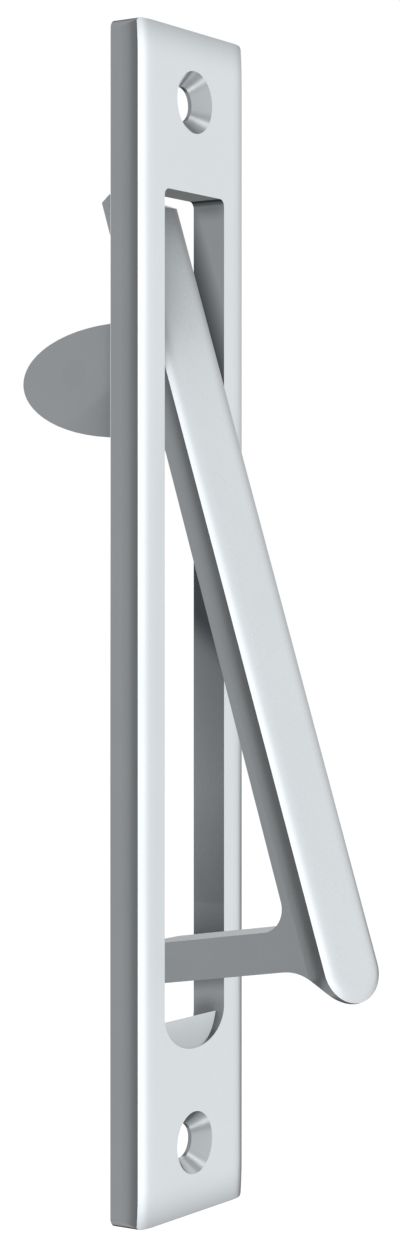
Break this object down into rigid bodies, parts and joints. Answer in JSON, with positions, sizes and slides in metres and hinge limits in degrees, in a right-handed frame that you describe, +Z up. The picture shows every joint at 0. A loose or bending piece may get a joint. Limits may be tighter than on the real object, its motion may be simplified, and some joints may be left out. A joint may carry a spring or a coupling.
{
  "type": "pocket door edge pull",
  "caption": "Slotted faceplate with countersunk screw holes and a pivoted pull lever; the rounded bar swings out of the slot to draw a sliding door from its pocket.",
  "frame": {"origin": "middle of the faceplate's back face, halfway between the screw holes", "axes": "+Z up along the faceplate, +Y back into the door's edge, X across the faceplate"},
  "size_m": [0.0254, 0.0474, 0.1588],
  "materials": {
    "plate_chrome": "polished chrome plate",
    "lever_chrome": "polished chrome plate",
    "pin_chrome": "ground flush and plated with the faceplate"
  },
  "bodies": {
    "plate": {"faceplate": "plate_chrome", "pivot_pin": "pin_chrome"},
    "lever": {"pull_lever": "lever_chrome"}
  },
  "joints": [
    {"name": "lever_pivot", "type": "hinge", "parent": "plate", "child": "lever", "pos_m": [0, 0.008, 0.0331], "axis": [1, 0, 0], "range_deg": [0, 16.7]}
  ]
}
